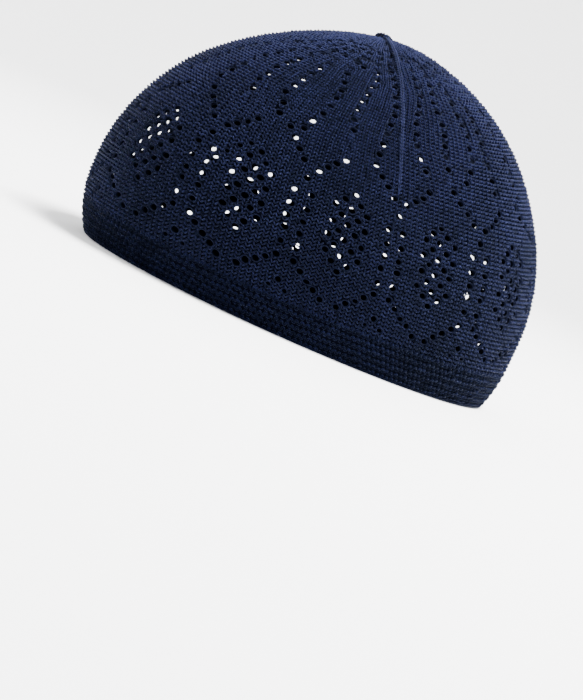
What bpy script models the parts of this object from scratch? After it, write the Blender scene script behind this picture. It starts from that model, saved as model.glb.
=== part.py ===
"""Knit kufi cap: a round pull-on cap of fine lace knit with a ridged edge band.

Metres, +Z up. The cap stands on its rim at z = 0, centred on the origin. The
brow side is -Y, the nape side +Y, and the wearer's left is +X.

Pieces: knit_crown, edge_band, seam_rib and crown_tip. The crown is one thin
domed wall, pierced by the main eyelets of its hexagon pattern. The band under
it, the seam over it and the gathered tip on top are separate solids, each
FIT_GAP away from the crown.
"""
import bpy
import bmesh
import numpy as np
from mathutils import Matrix, Vector

# Outer sizes of the worn shape
CAP_LENGTH = 0.206          # brow to nape, at the widest line
CAP_WIDTH = 0.165           # ear to ear, at the widest line
DOME_HEIGHT = 0.1305        # rim to crown, without the tip
WIDEST_HEIGHT = 0.031       # height of the widest line over the rim
RIM_DRAW_IN = 0.0062        # how far the rim is drawn in at brow and nape
RIM_SET_BACK = 0.0025       # the rim oval sits this far towards the nape
TOP_SET_BACK = 0.0040       # and so does the top of the dome
SET_BACK_REACH = 0.028      # height at which the rim's set-back has run out
TOP_LEAN_HEIGHT = 0.082     # height from which the top starts to lean back
INNER_HEIGHT = 0.3 * DOME_HEIGHT    # a point at this height inside tells outwards from inwards

# Shape exponents of the dome's outline, above and below the widest line
DOME_RISE_POWER = 2.03
DOME_ROUND_POWER = 1.75
RIM_POWER = 2.6
SET_BACK_POWER = 1.5

# How the knitted wales run over the dome
CROWN_LEAN = np.radians(5.7)    # the pole of the wales leans back
CROWN_TWIST = np.radians(-9.8)  # turn of a wale between rim and pole
SIDE_GATHER = 0.098             # wales lie closer together at the sides

# Walls and fits
KNIT_WALL = 0.0015
BAND_HEIGHT = 0.0165        # measured up the surface
BAND_WALL = 0.0021
BAND_RIDGES = 6
RIDGE_RISE = 0.0006
FIT_GAP = 0.0003

# Lace pattern: hexagons round the cap, one for each repeat
REPEATS = 12
STEPS_PER_REPEAT = 12       # chart columns
HEXAGON_START = np.radians(84.5)
COURSE_RISE = 0.00082       # one course of the chart, about half a row of stitches
FIRST_COURSE = 0.0223       # height up the surface of the hexagons' lowest eyelets
EYELET_LENGTH = 0.00235     # up the cap, between two flats
EYELET_WIDTH = 0.0034       # round the cap, between two corners
EYELET_SIDES = 6
CUTTER_DEPTH = 4.0 * KNIT_WALL

# Chart of one hexagon: columns from its middle, courses above FIRST_COURSE
EYELET_CHART = [
    # column, course
    (-1, -1), (1, -1),
    (-3, 5.5), (3, 5.5),
    (-5, 12), (5, 12),
    (-5, 31.5), (5, 31.5),
    (0, 35),
    (6, 52.5),
]

# Seam rib and gathered tip
SEAM_END_COLUMN = 5.5       # chart column of its lower end, from the first hexagon's middle
SEAM_TOP_COLUMN = 3.4       # the rib bends to this column by the tip
SEAM_BEND_POWER = 2
SEAM_END_COURSE = 60        # the rib fades out above this course
SEAM_TOP_WIDTH = 0.0034
SEAM_END_WIDTH = 0.0020
SEAM_TOP_RISE = 0.0015
SEAM_END_RISE = 0.0008
TIP_RADIUS = 0.0034
TIP_RISE = 0.0024

# Mesh fineness
CROWN_COLUMNS = REPEATS * 4
CROWN_ROWS = 16
BAND_COLUMNS = REPEATS * 4
SEAM_STATIONS = 12
TIP_SIDES = 14
MERIDIAN_SAMPLES = 120
PROFILE_SAMPLES = 400
FRAME_STEP = 0.002          # radians round, and share of the way up, to measure directions by
MERGE = 0.00001
TINY = 1e-9                 # keeps a division at the pole from failing
SHARP_ANGLE = np.radians(50.0)  # an edge between faces steeper than this shows

# Yarn finishes, one for each piece's knit
KNIT_COLOR = (0.020, 0.028, 0.062, 1.0)
GARTER_COLOR = (0.014, 0.019, 0.045, 1.0)
SEAM_COLOR = (0.017, 0.024, 0.055, 1.0)
YARN_ROUGHNESS = 0.85

# Shape of the seam's section, as shares of its half width and of its rise
SEAM_SECTION = [
    # across, up
    (-1.0, 0.0), (-0.8, 0.55), (-0.35, 0.95), (0.0, 1.0),
    (0.35, 0.95), (0.8, 0.55), (1.0, 0.0),
]

# Shape of the gathered tip, as shares of its radius and of its rise
TIP_SECTION = [
    # outwards, up
    (0.0, 1.0), (0.35, 0.96), (0.68, 0.8), (0.92, 0.5), (1.0, 0.22), (0.86, 0.0), (0.0, 0.0),
]


def clear_scene():
    for old in list(bpy.data.objects):
        bpy.data.objects.remove(old, do_unlink=True)


def make_collection(name):
    collection = bpy.data.collections.new(name)
    bpy.context.scene.collection.children.link(collection)
    return collection


def yarn_material(name, color):
    material = bpy.data.materials.new(name)
    material.use_nodes = True
    shader = material.node_tree.nodes["Principled BSDF"]
    shader.inputs["Base Color"].default_value = color
    shader.inputs["Roughness"].default_value = YARN_ROUGHNESS
    shader.inputs["Metallic"].default_value = 0.0
    return material


def outline_share(height):
    """Half length at a height, as a share of its widest value."""
    above = np.clip((height - WIDEST_HEIGHT) / (DOME_HEIGHT - WIDEST_HEIGHT), 0.0, 1.0)
    dome = (1.0 - above ** DOME_RISE_POWER) ** (1.0 / DOME_ROUND_POWER)
    below = np.clip(1.0 - height / WIDEST_HEIGHT, 0.0, 1.0)
    return dome - 2.0 * RIM_DRAW_IN / CAP_LENGTH * below ** RIM_POWER


def set_back(height):
    """How far the level's oval lies towards the nape."""
    near_rim = np.clip(1.0 - height / SET_BACK_REACH, 0.0, 1.0)
    near_top = np.clip((height - TOP_LEAN_HEIGHT) / (DOME_HEIGHT - TOP_LEAN_HEIGHT), 0.0, 1.0)
    smooth_top = near_top * near_top * (3.0 - 2.0 * near_top)
    return RIM_SET_BACK * near_rim ** SET_BACK_POWER + TOP_SET_BACK * smooth_top


def side_profile():
    """Heights along the side meridian with the sphere height that each one takes.

    The steps are even in angle, so that they crowd together at the round top.
    """
    height = DOME_HEIGHT * np.sin(np.linspace(0.0, np.pi / 2.0, PROFILE_SAMPLES))
    half = 0.5 * CAP_WIDTH * outline_share(height)
    arc = np.concatenate([[0.0], np.cumsum(np.hypot(np.diff(height), np.diff(half)))])
    return height, np.sin(arc / arc[-1] * np.pi / 2.0), arc[-1]


PROFILE_HEIGHT, PROFILE_SPHERE, SIDE_ARC = side_profile()


def meridian(wale, climb):
    """Points of one wale's line; climb runs from 0 at the rim to 1 at the pole.

    A point on a unit half sphere is turned by the crown's lean, and its height
    and direction are then carried over to the oval levels of the dome.
    """
    round_angle = wale + SIDE_GATHER * np.sin(2.0 * wale)
    up = np.sin(climb * np.pi / 2.0)
    out = np.cos(climb * np.pi / 2.0)
    back = -out * np.cos(round_angle)
    left = out * np.sin(round_angle)
    lean = CROWN_LEAN * np.sqrt(climb)
    back, up = back * np.cos(lean) - up * np.sin(lean), up * np.cos(lean) + back * np.sin(lean)
    height = np.interp(np.maximum(up, 0.0), PROFILE_SPHERE, PROFILE_HEIGHT)
    share = outline_share(height) / (np.hypot(back, left) + TINY)
    return np.stack([0.5 * CAP_WIDTH * share * left,
                     0.5 * CAP_LENGTH * share * back + set_back(height),
                     height], axis=-1)


def cap_point(angle, share):
    """Point of the outer surface, at a share of the way up the wale at this angle."""
    climbs = np.linspace(0.0, 1.0, MERIDIAN_SAMPLES)
    line = meridian(angle + CROWN_TWIST * share, climbs)
    arc = np.concatenate([[0.0], np.cumsum(np.linalg.norm(np.diff(line, axis=0), axis=1))])
    place = share * arc[-1]
    return Vector([float(np.interp(place, arc, line[:, axis])) for axis in range(3)])


def cap_frame(angle, share):
    """Point, direction round the cap, direction up the cap and outward normal."""
    step = FRAME_STEP
    point = cap_point(angle, share)
    around = (cap_point(angle + step, share) - cap_point(angle - step, share)).normalized()
    up = (cap_point(angle, share + step) - cap_point(angle, share - step)).normalized()
    normal = up.cross(around).normalized()
    if normal.dot(point - Vector((0.0, 0.0, INNER_HEIGHT))) < 0.0:
        normal = -normal
    return point, around, up, normal


def course_share(course):
    return (FIRST_COURSE + COURSE_RISE * course) / SIDE_ARC


def chart_angle(column):
    return HEXAGON_START + column * 2.0 * np.pi / (REPEATS * STEPS_PER_REPEAT)


def wrapped_grid(name, columns, rows, place):
    """A grid whose corners go to place(column, row), merged where its edges meet."""
    mesh = bpy.data.meshes.new(name)
    shape = bmesh.new()
    bmesh.ops.create_grid(shape, x_segments=columns, y_segments=rows, size=1.0)
    for corner in shape.verts:
        column = round((corner.co.x + 1.0) / 2.0 * columns)
        row = round((corner.co.y + 1.0) / 2.0 * rows)
        corner.co = place(column, row)
    bmesh.ops.remove_doubles(shape, verts=shape.verts, dist=MERGE)
    bmesh.ops.dissolve_degenerate(shape, edges=shape.edges, dist=MERGE)
    bmesh.ops.recalc_face_normals(shape, faces=shape.faces)
    shape.to_mesh(mesh)
    shape.free()
    return mesh


def add_object(name, mesh, collection, material=None):
    item = bpy.data.objects.new(name, mesh)
    collection.objects.link(item)
    if material:
        mesh.materials.append(material)
        mesh.shade_smooth()
        mesh.set_sharp_from_angle(angle=SHARP_ANGLE)
    return item


def face_out(mesh):
    """Turns an open dome's faces over if they look at the inside."""
    middle = Vector((0.0, 0.0, INNER_HEIGHT))
    outward = sum((face.center - middle).dot(face.normal) for face in mesh.polygons)
    if outward < 0.0:
        mesh.flip_normals()


def eyelet_cutter(collection):
    """One mesh of six-sided prisms, one through each charted eyelet, corners to the sides."""
    shape = bmesh.new()
    half_side = np.pi / EYELET_SIDES
    corner_round = Matrix.Rotation(half_side, 4, "Z")
    size = Matrix.Diagonal((EYELET_WIDTH, EYELET_LENGTH / np.cos(half_side), CUTTER_DEPTH, 1.0))
    for repeat in range(REPEATS):
        for column, course in EYELET_CHART:
            angle = chart_angle(repeat * STEPS_PER_REPEAT + column)
            point, around, up, normal = cap_frame(angle, course_share(course))
            turn = Matrix((around, up, normal)).transposed().to_4x4()
            middle = Matrix.Translation(point - 0.5 * KNIT_WALL * normal)
            bmesh.ops.create_cone(shape, cap_ends=True, segments=EYELET_SIDES, radius1=0.5,
                                  radius2=0.5, depth=1.0,
                                  matrix=middle @ turn @ size @ corner_round)
    bmesh.ops.recalc_face_normals(shape, faces=shape.faces)
    mesh = bpy.data.meshes.new("eyelet_cutter")
    shape.to_mesh(mesh)
    shape.free()
    cutter = add_object("eyelet_cutter", mesh, collection)
    cutter.hide_render = True
    cutter.display_type = "WIRE"
    return cutter


def make_crown(collection, cutters, material):
    """Domed knit wall above the band, closed at the pole and pierced by the eyelets."""
    start = (BAND_HEIGHT + FIT_GAP) / SIDE_ARC

    def place(column, row):
        angle = HEXAGON_START + column * 2.0 * np.pi / CROWN_COLUMNS
        return cap_point(angle, start + (1.0 - start) * row / CROWN_ROWS)

    crown = add_object("knit_crown", wrapped_grid("knit_crown", CROWN_COLUMNS, CROWN_ROWS, place),
                       collection, material)
    face_out(crown.data)
    wall = crown.modifiers.new("Wall", "SOLIDIFY")
    wall.thickness = KNIT_WALL
    wall.offset = -1.0
    wall.use_even_offset = True
    pierce = crown.modifiers.new("Eyelets", "BOOLEAN")
    pierce.operation = "DIFFERENCE"
    pierce.solver = "EXACT"
    pierce.object = eyelet_cutter(cutters)
    return crown


def band_section():
    """Closed section of the band: offset outwards and height up the surface."""
    ridge = BAND_HEIGHT / BAND_RIDGES
    section = [(0.0, 0.0)]
    for number in range(BAND_RIDGES):
        section.append((RIDGE_RISE, (number + 0.5) * ridge))
        section.append((0.0, (number + 1.0) * ridge))
    inner_levels = [BAND_HEIGHT, 0.5 * BAND_HEIGHT, 0.0]
    section += [(-BAND_WALL, level) for level in inner_levels]
    return section


def make_band(collection, material):
    """Garter-ridged edge band: its section carried level round the oval rim."""
    section = band_section()

    def place(column, row):
        offset, level = section[row % len(section)]
        angle = HEXAGON_START + column * 2.0 * np.pi / BAND_COLUMNS
        point, _, _, normal = cap_frame(angle, level / SIDE_ARC)
        level_out = Vector((normal.x, normal.y, 0.0)).normalized()
        return point + offset * level_out

    mesh = wrapped_grid("edge_band", BAND_COLUMNS, len(section), place)
    return add_object("edge_band", mesh, collection, material)


def make_seam(collection, material):
    """Raised seam from one side up to the tip, its section carried along a bent wale."""
    top = 1.0 - (TIP_RADIUS + FIT_GAP) / SIDE_ARC
    end = course_share(SEAM_END_COURSE)
    sides = len(SEAM_SECTION)
    shape = bmesh.new()
    rings = []
    for station in range(SEAM_STATIONS + 1):
        climb = station / SEAM_STATIONS
        column = SEAM_END_COLUMN + (SEAM_TOP_COLUMN - SEAM_END_COLUMN) * climb ** SEAM_BEND_POWER
        point, around, _, normal = cap_frame(chart_angle(column), end + (top - end) * climb)
        half = 0.5 * (SEAM_END_WIDTH + (SEAM_TOP_WIDTH - SEAM_END_WIDTH) * climb)
        rise = SEAM_END_RISE + (SEAM_TOP_RISE - SEAM_END_RISE) * climb
        ring = [shape.verts.new(point + across * half * around + (FIT_GAP + up * rise) * normal)
                for across, up in SEAM_SECTION]
        rings.append(ring)
    for ring, following in zip(rings, rings[1:]):
        for side in range(sides):
            other = (side + 1) % sides
            shape.faces.new((ring[side], ring[other], following[other], following[side]))
    shape.faces.new(rings[0])
    shape.faces.new(rings[-1])
    bmesh.ops.recalc_face_normals(shape, faces=shape.faces)
    mesh = bpy.data.meshes.new("seam_rib")
    shape.to_mesh(mesh)
    shape.free()
    return add_object("seam_rib", mesh, collection, material)


def make_tip(collection, material):
    """Small gathered button on the pole, turned from its section."""
    shape = bmesh.new()
    corners = [shape.verts.new((outwards * TIP_RADIUS, 0.0, up * TIP_RISE))
               for outwards, up in TIP_SECTION]
    for start, end in zip(corners, corners[1:]):
        shape.edges.new((start, end))
    mesh = bpy.data.meshes.new("crown_tip")
    shape.to_mesh(mesh)
    shape.free()
    tip = add_object("crown_tip", mesh, collection, material)
    pole = cap_point(0.0, 1.0)
    tip.location = pole + Vector((0.0, 0.0, FIT_GAP))
    turn = tip.modifiers.new("Turn", "SCREW")
    turn.steps = TIP_SIDES
    turn.render_steps = TIP_SIDES
    turn.use_merge_vertices = True
    turn.merge_threshold = MERGE
    return tip


def main():
    clear_scene()
    collection = make_collection("knit_kufi_cap")
    cutters = make_collection("cutters")
    knit = yarn_material("navy_knit", KNIT_COLOR)
    garter = yarn_material("navy_garter", GARTER_COLOR)
    seam = yarn_material("navy_seam", SEAM_COLOR)
    make_crown(collection, cutters, knit)
    make_band(collection, garter)
    make_seam(collection, seam)
    make_tip(collection, seam)


main()
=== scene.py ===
import bpy
import numpy as np
from mathutils import Matrix, Vector


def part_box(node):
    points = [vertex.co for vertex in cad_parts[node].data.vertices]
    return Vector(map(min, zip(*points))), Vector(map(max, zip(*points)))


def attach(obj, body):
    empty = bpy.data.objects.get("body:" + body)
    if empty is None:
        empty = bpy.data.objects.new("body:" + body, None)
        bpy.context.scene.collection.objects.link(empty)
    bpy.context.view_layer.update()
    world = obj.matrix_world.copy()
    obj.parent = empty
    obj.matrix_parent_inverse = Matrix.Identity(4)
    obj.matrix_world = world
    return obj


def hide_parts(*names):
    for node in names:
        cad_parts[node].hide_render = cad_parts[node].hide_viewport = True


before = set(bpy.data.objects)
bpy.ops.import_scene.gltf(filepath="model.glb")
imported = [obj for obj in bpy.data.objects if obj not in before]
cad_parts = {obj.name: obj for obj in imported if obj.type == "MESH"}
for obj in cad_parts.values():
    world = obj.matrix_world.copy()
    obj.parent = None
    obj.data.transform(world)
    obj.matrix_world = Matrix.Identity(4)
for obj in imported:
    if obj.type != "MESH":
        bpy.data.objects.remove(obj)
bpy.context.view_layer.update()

print("cap: frame loaded")

# Shape of the worn cap, in metres and radians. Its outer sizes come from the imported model's box.
crownLow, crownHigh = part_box("knit_crown")
boxMargin = 0.0001  # the faceted solid lies this far inside the true oval
capShape = {
    "length": crownHigh.y - crownLow.y + boxMargin,
    "width": crownHigh.x - crownLow.x + boxMargin,
    "height": crownHigh.z,
    "widestHeight": 0.031,
    "rimDrawIn": 0.0062,
    "rimSetBack": 0.0025,
    "topSetBack": 0.0040,
    "setBackReach": 0.028,
    "topLeanHeight": 0.082,
    "risePower": 2.03,
    "roundPower": 1.75,
    "rimPower": 2.6,
    "setBackPower": 1.5,
    "crownLean": np.radians(5.7),
    "crownTwist": np.radians(-9.8),
    "sideGather": 0.098,
    "wales": 720,  # fineness of the surface table
    "climbs": 241,
    "shares": 601,
    "profileSteps": 400,
    "poleRows": 3,  # rows at the pole that share one normal
    "innerShare": 0.3,  # a point this high inside tells outwards from inwards
    "leastWaleStep": 1e-5,  # metres a radian, at the pole
    "tinyLength": 1e-9,  # these two keep a division from failing
    "tinyArea": 1e-12,
}

# The knit chart: courses count up from the lowest eyelets
chart = {
    "repeats": 12,
    "columnsPerRepeat": 12,
    "wales": 192,  # stitches round the cap
    "rowCourses": 1.945,  # one row of stitches
    "start": np.radians(84.5),
    "firstCourse": 0.0223,  # height up the surface of course 0
    "courseRise": 0.00082,
    "bandHeight": 0.0165,
    "gap": 0.0003,
    "lowestLevel": -30, "highestLevel": 186,  # courses where a column's mean width is kept
    "meanEvery": 4,  # columns between its readings
}
chart["columns"] = chart["repeats"] * chart["columnsPerRepeat"]
chart["columnAngle"] = 2 * np.pi / chart["columns"]
chart["walesPerColumn"] = chart["wales"] / chart["columns"]

camera = {
    "distance": 0.966,
    "turn": np.radians(-17.8),  # towards the brow from square-on to the wearer's left
    "lift": np.radians(1.7),
    "roll": np.radians(24.7),
    "focalPixels": 2200.0,
    "imageWidth": 583,
    "imageHeight": 700,
    "sensor": 36,  # millimetres
    "clipNear": 0.05, "clipFar": 30,
    "capX": 341.7,  # where the cap's middle lies in the picture
    "capY": 181.4,
}


# Cap surface

def outlineShare(height):
    # half length over its widest value: a superellipse above the widest line, a slight draw-in below it
    s = capShape
    above = np.clip((height - s["widestHeight"]) / (s["height"] - s["widestHeight"]), 0, 1)
    below = np.clip(1 - height / s["widestHeight"], 0, 1)
    dome = (1 - above ** s["risePower"]) ** (1 / s["roundPower"])
    return dome - 2 * s["rimDrawIn"] / s["length"] * below ** s["rimPower"]


def setBack(height):
    # how far a level lies towards the nape: a power near the rim, a smooth step near the top
    s = capShape
    nearRim = np.clip(1 - height / s["setBackReach"], 0, 1)
    nearTop = np.clip((height - s["topLeanHeight"]) / (s["height"] - s["topLeanHeight"]), 0, 1)
    return s["rimSetBack"] * nearRim ** s["setBackPower"] + s["topSetBack"] * nearTop ** 2 * (3 - 2 * nearTop)


def makeSurfaceTable():
    # wale lines on a unit half sphere, leaned back, carried over to the dome's ovals and
    # walked off by arc length, so that share 0.5 is half way up each wale
    s = capShape
    height = s["height"] * np.sin(np.linspace(0, np.pi / 2, s["profileSteps"]))
    half = 0.5 * s["width"] * outlineShare(height)
    arc = np.concatenate([[0], np.cumsum(np.hypot(np.diff(height), np.diff(half)))])
    sphere = np.sin(arc / arc[-1] * np.pi / 2)
    wale = np.linspace(0, 2 * np.pi, s["wales"] + 1)[:, None]
    climb = np.linspace(0, 1, s["climbs"])[None, :]
    turned = wale + s["sideGather"] * np.sin(2 * wale)
    up = np.sin(climb * np.pi / 2)
    out = np.cos(climb * np.pi / 2)
    back, left = -out * np.cos(turned), out * np.sin(turned)
    lean = s["crownLean"] * np.sqrt(climb)
    back, up = back * np.cos(lean) - up * np.sin(lean), up * np.cos(lean) + back * np.sin(lean)
    z = np.interp(np.maximum(up, 0), sphere, height)
    share = outlineShare(z) / (np.hypot(back, left) + s["tinyLength"])
    line = np.stack([0.5 * s["width"] * share * left,
                     0.5 * s["length"] * share * back + setBack(z), z], -1)
    walked = np.cumsum(np.linalg.norm(np.diff(line, axis=1), axis=2), axis=1)
    walked = np.concatenate([np.zeros((len(line), 1)), walked], 1)
    steps = np.linspace(0, 1, s["shares"])
    table = np.stack([np.stack([np.interp(steps * walked[i, -1], walked[i], line[i, :, k])
                                for k in range(3)], -1) for i in range(len(line))])
    roundStep = np.gradient(table, axis=0)
    roundStep[0] = roundStep[-1] = table[1] - table[0] + table[-1] - table[-2]
    roundStep[0] /= 2
    roundStep[-1] /= 2
    rise = np.gradient(table, axis=1)
    normal = np.cross(roundStep, rise)
    middle = np.array([0, 0, s["innerShare"] * s["height"]])
    facing = np.sign(np.sum(normal * (table - middle), -1, keepdims=True))
    normal *= facing
    normal /= np.linalg.norm(normal, axis=-1, keepdims=True) + s["tinyArea"]
    pole = normal[:, -s["poleRows"] - 1].mean(0)
    normal[:, -s["poleRows"]:] = pole / np.linalg.norm(pole)
    waleStep = np.linalg.norm(roundStep, axis=-1, keepdims=True) / (2 * np.pi / s["wales"])
    return np.concatenate([table, normal, waleStep], -1), arc[-1]


surfaceTable, sideArc = makeSurfaceTable()


def lookUp(column, course):
    # bilinear reading of the table at chart places; gives point, normal, metres per radian
    column, course = np.broadcast_arrays(np.asarray(column, float), np.asarray(course, float))
    share = np.clip((chart["firstCourse"] + chart["courseRise"] * course) / sideArc, 0, 1)
    angle = chart["start"] + column * chart["columnAngle"] + capShape["crownTwist"] * share
    turn = (angle / (2 * np.pi) % 1.0) * capShape["wales"]
    i = np.minimum(turn.astype(int), capShape["wales"] - 1)
    f = (turn - i)[..., None]
    step = share * (capShape["shares"] - 1)
    j = np.minimum(step.astype(int), capShape["shares"] - 2)
    g = (step - j)[..., None]
    t = surfaceTable
    return ((t[i, j] * (1 - f) + t[i + 1, j] * f) * (1 - g)
            + (t[i, j + 1] * (1 - f) + t[i + 1, j + 1] * f) * g)


def onCap(column, course, lift):
    # a point of the surface pushed out along its normal by lift
    found = lookUp(column, course)
    return found[..., 0:3] + found[..., 3:6] * np.asarray(lift)[..., None]


def columnWidth(column, course):
    # metres round the cap that one chart column takes there
    return np.maximum(lookUp(column, course)[..., 6], capShape["leastWaleStep"]) * chart["columnAngle"]


meanLevels = np.arange(chart["lowestLevel"], chart["highestLevel"] + 1.0)
meanAt = np.arange(0, chart["columns"], chart["meanEvery"])
meanWidths = columnWidth(meanAt[:, None], meanLevels[None, :]).mean(0)


def meanColumn(course):
    return np.interp(course, meanLevels, meanWidths)


poleCourse = (sideArc - chart["firstCourse"]) / chart["courseRise"]
groundCourse = (chart["bandHeight"] + chart["gap"] - chart["firstCourse"]) / chart["courseRise"]
print("cap: surface worked out, side arc %.1f mm, pole at course %.1f" % (sideArc * 1000, poleCourse))


# Helpers for objects, nodes and meshes

def addThing(name, data):
    thing = bpy.data.objects.new(name, data)
    bpy.context.scene.collection.objects.link(thing)
    return thing


def setInputs(node, values):
    for key, value in values.items():
        node.inputs[key].default_value = value


def circle(count):
    return np.linspace(0, 2 * np.pi, count, endpoint=False)


def makeObject(name, points, faces, material, tone=None):
    # faces are an array of equal ones or a list of mixed ones; tone is one for all or one a point
    mesh = bpy.data.meshes.new(name)
    points = np.asarray(points, np.float32).reshape(-1, 3)
    if isinstance(faces, np.ndarray):
        count, sides = faces.shape
        mesh.vertices.add(len(points))
        mesh.vertices.foreach_set("co", points.ravel())
        mesh.loops.add(count * sides)
        mesh.loops.foreach_set("vertex_index", faces.astype(np.int32).ravel())
        mesh.polygons.add(count)
        mesh.polygons.foreach_set("loop_start", np.arange(0, count * sides, sides, dtype=np.int32))
        mesh.update(calc_edges=True)
    else:
        mesh.from_pydata(points.tolist(), [], faces)
    mesh.polygons.foreach_set("use_smooth", np.full(len(mesh.polygons), True))
    if tone is not None:
        values = np.full(len(points), tone, np.float32)
        mesh.attributes.new("tone", "FLOAT", "POINT").data.foreach_set("value", values)
    mesh.validate()
    mesh.materials.append(material)
    return addThing(name, mesh)


def gridFaces(rows, columns, closeRows=False, closeColumns=False):
    # quads of a grid of rows x columns points, wrapped where asked
    r = np.arange(rows if closeRows else rows - 1)[:, None]
    c = np.arange(columns if closeColumns else columns - 1)[None, :]
    r2, c2 = (r + 1) % rows, (c + 1) % columns
    here, above = r * columns, r2 * columns
    return np.stack([here + c, here + c2, above + c2, above + c], -1).reshape(-1, 4)


def tubeFaces(rings, around):
    # quads between rings of points, and a face over each end
    ends = [list(range(around))[::-1], [(rings - 1) * around + i for i in range(around)]]
    return gridFaces(rings, around, False, True).tolist() + ends


# Yarn materials

yarn = {
    "knitLight": (0.0088, 0.0102, 0.0335, 1),
    # the dark colours are painted shade for the gaps between yarns
    "knitGapShade": (0.0003, 0.0004, 0.0012, 1),
    # the band's colour is darker than the knit's: painted shade, as the band faces sideways, away from the
    # top light
    "bandShadedNavy": (0.0023, 0.0029, 0.0110, 1),
    "bandGapShade": (0.0002, 0.0003, 0.0009, 1),
    "seamLight": (0.0092, 0.0106, 0.0345, 1),
    # the ground's near-black colour is painted shade, seen in the gaps between stitches
    "groundPaintedShade": (0.0006, 0.0007, 0.0021, 1),
    "roughness": 0.72,
    "specular": 0.08,
    "bandSpecular": 0.04,
    "specularTint": (0.42, 0.55, 1.0, 1),
    "sheen": 0.03,
    "sheenTint": (0.30, 0.42, 0.85, 1),
    "fibreScale": 2600.0,  # fine fuzz of the yarn
    "fibreBump": 0.25,
    "patchScale": 38.0,  # uneven dye and tension
    "fibreShare": 0.22,
    "patchShare": 0.34,
    "noiseDetail": 3,
    "noiseLow": 0.3, "noiseHigh": 0.7,  # the part of the noise's range that counts
    "fibreDepth": 0.0002,
    "sheenRoughness": 0.5,
    "groundSpecular": 0.02,
}


def yarnMaterial(name, light, gapShade, specular):
    # colour runs from painted shade in the gaps to the light colour on the yarn's back, after the tone
    # attribute
    m = bpy.data.materials.new(name)
    m.use_nodes = True
    nodes, links = m.node_tree.nodes, m.node_tree.links
    shader = nodes["Principled BSDF"]
    place = nodes.new("ShaderNodeTexCoord")
    tone = nodes.new("ShaderNodeAttribute")
    tone.attribute_name = "tone"
    factor = tone.outputs["Fac"]
    for scale, share in ((yarn["fibreScale"], yarn["fibreShare"]), (yarn["patchScale"], yarn["patchShare"])):
        noise = nodes.new("ShaderNodeTexNoise")
        setInputs(noise, {"Scale": scale, "Detail": yarn["noiseDetail"]})
        spread = nodes.new("ShaderNodeMapRange")
        setInputs(spread, {"From Min": yarn["noiseLow"], "From Max": yarn["noiseHigh"],
                           "To Min": 1 - share, "To Max": 1 + share})
        times = nodes.new("ShaderNodeMath")
        times.operation = "MULTIPLY"
        links.new(place.outputs["Object"], noise.inputs["Vector"])
        links.new(noise.outputs["Fac"], spread.inputs["Value"])
        links.new(factor, times.inputs[0])
        links.new(spread.outputs["Result"], times.inputs[1])
        factor = times.outputs["Value"]
        if scale == yarn["fibreScale"]:
            bump = nodes.new("ShaderNodeBump")
            setInputs(bump, {"Strength": yarn["fibreBump"], "Distance": yarn["fibreDepth"]})
            links.new(noise.outputs["Fac"], bump.inputs["Height"])
            links.new(bump.outputs["Normal"], shader.inputs["Normal"])
    mix = nodes.new("ShaderNodeMix")
    mix.data_type = "RGBA"
    setInputs(mix, {"A": gapShade, "B": light})
    links.new(factor, mix.inputs["Factor"])
    links.new(mix.outputs["Result"], shader.inputs["Base Color"])
    setInputs(shader, {"Roughness": yarn["roughness"], "Sheen Weight": yarn["sheen"],
                       "Sheen Roughness": yarn["sheenRoughness"], "Sheen Tint": yarn["sheenTint"],
                       "Specular IOR Level": specular, "Specular Tint": yarn["specularTint"]})
    return m


knitYarn = yarnMaterial("navyKnitYarn", yarn["knitLight"], yarn["knitGapShade"], yarn["specular"])
groundShadeYarn = yarnMaterial("navyGroundShade", yarn["groundPaintedShade"], yarn["knitGapShade"], yarn["groundSpecular"])
shadedBandYarn = yarnMaterial("navyBandShadedYarn", yarn["bandShadedNavy"], yarn["bandGapShade"], yarn["bandSpecular"])
seamYarn = yarnMaterial("navySeamYarn", yarn["seamLight"], yarn["knitGapShade"], yarn["specular"])


# Lace chart: eyelets of one hexagon repeat, then the eyelet lines of the crown

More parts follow.
